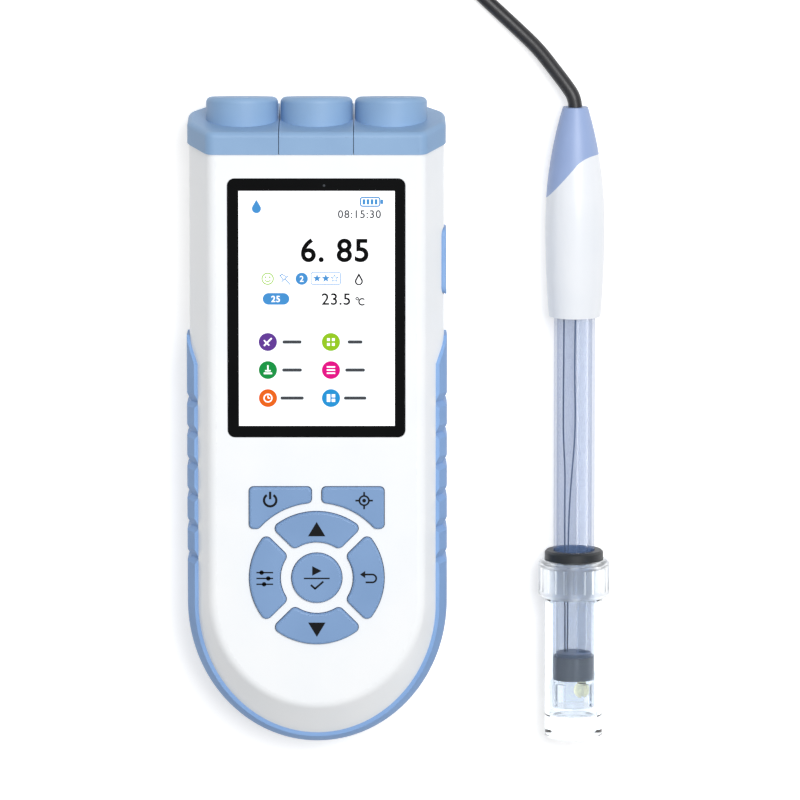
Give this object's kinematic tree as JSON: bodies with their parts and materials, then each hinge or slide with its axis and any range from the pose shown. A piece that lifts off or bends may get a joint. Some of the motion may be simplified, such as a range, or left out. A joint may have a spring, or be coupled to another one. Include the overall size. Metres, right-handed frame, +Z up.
{
  "type": "portable pH meter",
  "caption": "Handheld meter with a colour screen, oval keypad, rubber grip and capped sockets, beside a combination electrode in its storage bottle with a coiled lead and coaxial plug.",
  "frame": {"origin": "on the middle of the meter's flat back, on the surface that the meter lies on", "axes": "+Y along the meter towards its connector end, +Z up out of the screen, +X to the right of the keypad, where the electrode lies"},
  "size_m": [0.1219, 0.2805, 0.0352],
  "materials": {
    "white_shell": "smooth satin moulding",
    "blue_bumper": "matt overmould",
    "blue_cap": "matt rubber",
    "key_rubber": "matt silicone",
    "window_black": "polished",
    "display_cell": "smooth",
    "black_plastic": "fine texture",
    "board_green": "solder mask",
    "mat_grey": "matt silicone",
    "seal_black": "matt rubber",
    "steel": "plain",
    "nickel": "plated",
    "gold_pin": "plated",
    "battery_wrap": "film",
    "handle_white": "smooth",
    "boot_blue": "satin",
    "clear_shaft": "polished",
    "clear_glass": "polished",
    "bulb_glass": "polished",
    "clear_bottle": "moulded",
    "dark_wire": "drawn",
    "lead_black": "satin"
  },
  "bodies": {
    "meter": {"front_cover": "white_shell", "rear_cover": "white_shell", "grip_bumper": "blue_bumper", "display_window": "window_black", "display_panel": "display_cell", "display_frame": "black_plastic", "buzzer": "black_plastic", "end_plate": "black_plastic", "auxiliary_socket": "black_plastic", "main_board": "board_green", "usb_board": "board_green", "key_mat": "mat_grey", "housing_gasket": "seal_black", "shaft_stopper": "seal_black", "housing_screws": "steel", "board_screws": "steel", "usb_socket": "steel", "ph_socket": "nickel", "temperature_socket": "nickel", "socket_nuts": "nickel", "plug_body": "nickel", "plug_pin": "gold_pin", "battery_pack": "battery_wrap", "probe_handle": "handle_white", "cable_boot": "boot_blue", "probe_shaft": "clear_shaft", "tip_guard": "clear_shaft", "inner_tube": "clear_glass", "glass_bulb": "bulb_glass", "sensing_wire": "dark_wire", "reference_wire": "dark_wire", "lead_cable": "lead_black", "lead_coil": "lead_black", "lead_tail": "lead_black", "plug_boot": "lead_black"},
    "power_key": {"key_power": "key_rubber"},
    "calibrate_key": {"key_calibrate": "key_rubber"},
    "up_key": {"key_up": "key_rubber"},
    "down_key": {"key_down": "key_rubber"},
    "set_key": {"key_set": "key_rubber"},
    "escape_key": {"key_escape": "key_rubber"},
    "enter_key": {"key_enter": "key_rubber"},
    "left_cap": {"cap_left": "blue_cap"},
    "middle_cap": {"cap_middle": "blue_cap"},
    "right_cap": {"cap_right": "blue_cap"},
    "port_flap": {"usb_cover": "blue_bumper"},
    "bottle": {"storage_bottle": "clear_bottle"},
    "ring": {"seal_ring": "seal_black"},
    "collar": {"screw_collar": "clear_bottle"},
    "sleeve": {"plug_sleeve": "nickel"}
  },
  "joints": [
    {"name": "power_press", "type": "slide", "parent": "meter", "child": "power_key", "axis": [0, 0, -1], "range_m": [0, 0.0008], "stiffness_N_per_m": 1500},
    {"name": "calibrate_press", "type": "slide", "parent": "meter", "child": "calibrate_key", "axis": [0, 0, -1], "range_m": [0, 0.0008], "stiffness_N_per_m": 1500},
    {"name": "up_press", "type": "slide", "parent": "meter", "child": "up_key", "axis": [0, 0, -1], "range_m": [0, 0.0008], "stiffness_N_per_m": 1500},
    {"name": "down_press", "type": "slide", "parent": "meter", "child": "down_key", "axis": [0, 0, -1], "range_m": [0, 0.0008], "stiffness_N_per_m": 1500},
    {"name": "set_press", "type": "slide", "parent": "meter", "child": "set_key", "axis": [0, 0, -1], "range_m": [0, 0.0008], "stiffness_N_per_m": 1500},
    {"name": "escape_press", "type": "slide", "parent": "meter", "child": "escape_key", "axis": [0, 0, -1], "range_m": [0, 0.0008], "stiffness_N_per_m": 1500},
    {"name": "enter_press", "type": "slide", "parent": "meter", "child": "enter_key", "axis": [0, 0, -1], "range_m": [0, 0.0008], "stiffness_N_per_m": 1500},
    {"name": "left_cap_pull", "type": "slide", "parent": "meter", "child": "left_cap", "axis": [0, 1, 0], "range_m": [0, 0.018]},
    {"name": "middle_cap_pull", "type": "slide", "parent": "meter", "child": "middle_cap", "axis": [0, 1, 0], "range_m": [0, 0.018]},
    {"name": "right_cap_pull", "type": "slide", "parent": "meter", "child": "right_cap", "axis": [0, 1, 0], "range_m": [0, 0.018]},
    {"name": "flap_open", "type": "hinge", "parent": "meter", "child": "port_flap", "pos_m": [0.0369, 0.0433, 0.0174], "axis": [0, 0, -1], "range_deg": [0, 110]},
    {"name": "bottle_pull", "type": "slide", "parent": "meter", "child": "bottle", "axis": [0, -0.9999, 0.0173], "range_m": [0, 0.06]},
    {"name": "ring_lift", "type": "slide", "parent": "bottle", "child": "ring", "axis": [0, 0.9999, -0.0173], "range_m": [0, 0.005]},
    {"name": "collar_turn", "type": "hinge", "parent": "ring", "child": "collar", "pos_m": [0.0742, -0.04195, 0.01038], "axis": [0, 0.9999, -0.0173], "range_deg": [0, 900]},
    {"name": "sleeve_turn", "type": "hinge", "parent": "meter", "child": "sleeve", "pos_m": [0.0137, 0.1604, 0.0072], "axis": [-0.7314, 0.682, 0], "range_deg": [0, 90]}
  ],
  "couplings": [
    {"joint": "ring_lift", "follows": "collar_turn", "m_per_rad": 0.000318}
  ]
}
